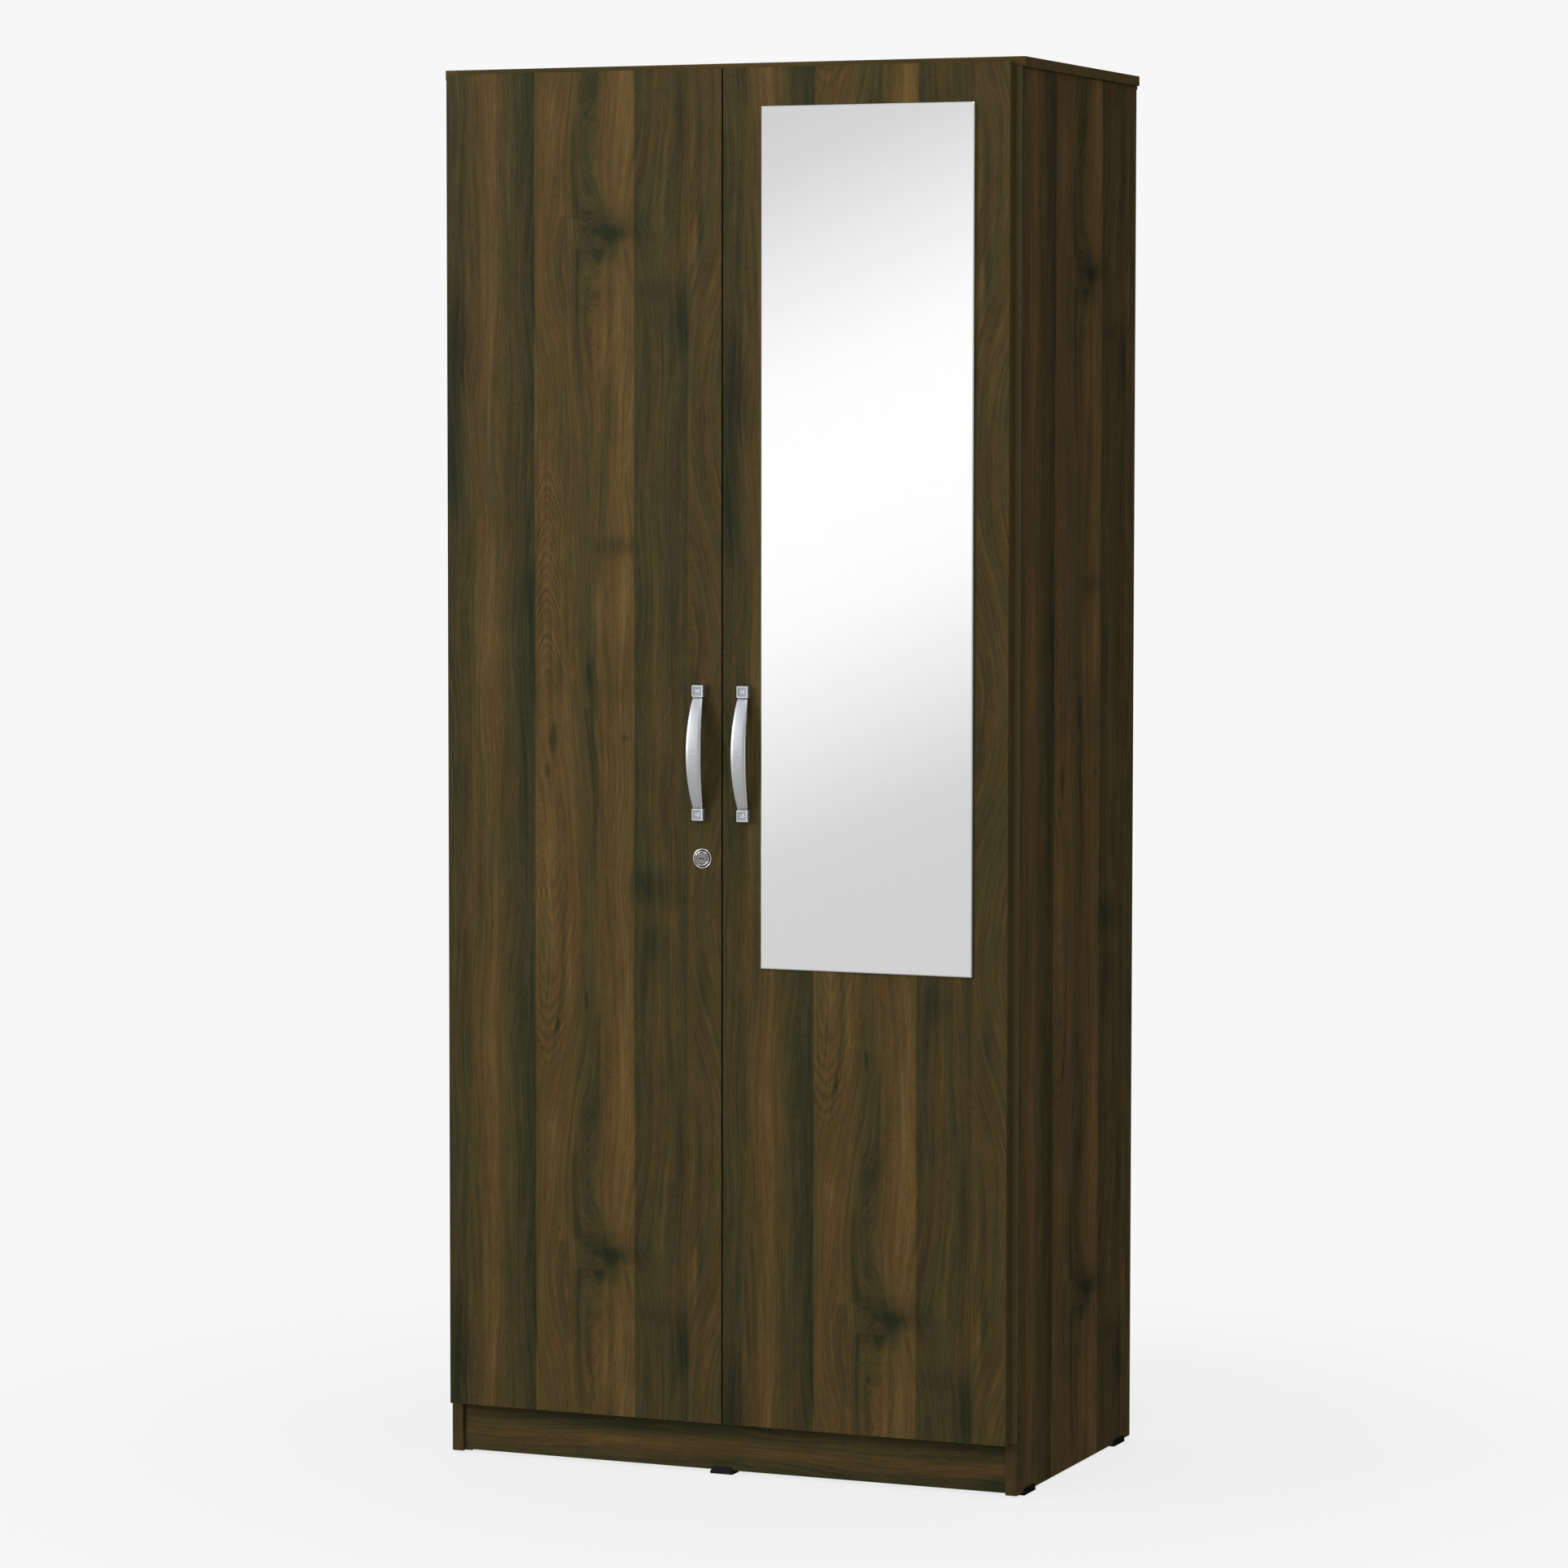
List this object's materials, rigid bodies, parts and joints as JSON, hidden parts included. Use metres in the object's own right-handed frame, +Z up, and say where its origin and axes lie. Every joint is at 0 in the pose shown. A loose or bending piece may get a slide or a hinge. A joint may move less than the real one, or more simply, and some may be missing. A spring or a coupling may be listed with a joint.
{
  "type": "armoire",
  "caption": "Tall hinged-door armoire with a long mirror on one door, bow handles, a key lock, shelves and a hanging space with a rail.",
  "frame": {"origin": "on the floor, at the middle of the outside box in X and Y", "axes": "+X to the right as seen from the front, +Y from the doors to the back, +Z up"},
  "size_m": [0.808, 0.4976, 1.831],
  "materials": {
    "walnut_decor": "dark walnut print on laminated board, matt",
    "walnut_side": "dark walnut print on laminated board, matt",
    "inner_decor": "plain walnut print inside, matt",
    "hardboard": "brown hardboard, smooth",
    "black_plastic": "moulded, matt",
    "satin_metal": "satin silver with polished rims",
    "chrome": "bright plated",
    "nickel_plate": "nickel plated",
    "zinc_plate": "zinc plated",
    "mirror_glass": "silvered float glass with polished edges",
    "foam_tape": "foam mounting tape",
    "soft_pad": "clear soft pad"
  },
  "bodies": {
    "carcass": {"left_side_panel": "walnut_side", "right_side_panel": "walnut_side", "top_panel": "walnut_decor", "bottom_panel": "inner_decor", "centre_partition": "inner_decor", "front_plinth": "walnut_decor", "rear_plinth": "walnut_decor", "left_back_board": "hardboard", "right_back_board": "hardboard", "back_joiner": "black_plastic", "back_top_strip": "black_plastic", "back_nails": "zinc_plate", "left_shelf_1": "inner_decor", "left_shelf_2": "inner_decor", "left_shelf_3": "inner_decor", "left_upper_shelf": "inner_decor", "right_upper_shelf": "inner_decor", "shelf_pins": "zinc_plate", "hanging_rail": "chrome", "left_rail_socket": "chrome", "right_rail_socket": "chrome", "rail_socket_screws": "zinc_plate", "left_front_glide": "black_plastic", "left_rear_glide": "black_plastic", "right_front_glide": "black_plastic", "right_rear_glide": "black_plastic", "centre_front_glide": "black_plastic", "centre_rear_glide": "black_plastic", "cam_locks": "zinc_plate", "cam_bolts": "zinc_plate", "left_hinge_arms": "nickel_plate", "left_hinge_plates": "nickel_plate", "right_hinge_arms": "nickel_plate", "right_hinge_plates": "nickel_plate", "hinge_plate_screws": "zinc_plate", "lock_strike": "zinc_plate", "strike_screws": "zinc_plate"},
    "left_door": {"left_door": "walnut_decor", "left_handle": "satin_metal", "left_handle_screws": "zinc_plate", "left_hinge_cups": "nickel_plate", "left_hinge_pins": "zinc_plate", "left_cup_screws": "zinc_plate", "left_bumpers": "soft_pad", "lock_cylinder": "chrome", "lock_case": "zinc_plate", "lock_case_screws": "zinc_plate"},
    "right_door": {"right_door": "walnut_decor", "right_handle": "satin_metal", "right_handle_screws": "zinc_plate", "right_hinge_cups": "nickel_plate", "right_hinge_pins": "zinc_plate", "right_cup_screws": "zinc_plate", "right_bumpers": "soft_pad", "mirror_glass": "mirror_glass", "mirror_tape": "foam_tape"},
    "lock_plug": {"lock_plug": "chrome"},
    "lock_bolt": {"lock_bolt": "chrome"}
  },
  "joints": [
    {"name": "left_door_hinge", "type": "hinge", "parent": "carcass", "child": "left_door", "pos_m": [-0.385, -0.21375, 0.947], "axis": [0, 0, -1], "range_deg": [0, 100]},
    {"name": "right_door_hinge", "type": "hinge", "parent": "carcass", "child": "right_door", "pos_m": [0.385, -0.21375, 0.947], "axis": [0, 0, 1], "range_deg": [0, 100]},
    {"name": "lock_turn", "type": "hinge", "parent": "left_door", "child": "lock_plug", "pos_m": [-0.0275, -0.22425, 0.8085], "axis": [0, 1, 0], "range_deg": [0, 90]},
    {"name": "bolt_slide", "type": "slide", "parent": "left_door", "child": "lock_bolt", "axis": [1, 0, 0], "range_m": [0, 0.008]}
  ],
  "couplings": [
    {"joint": "lock_turn", "follows": "bolt_slide", "rad_per_m": 196.35}
  ]
}
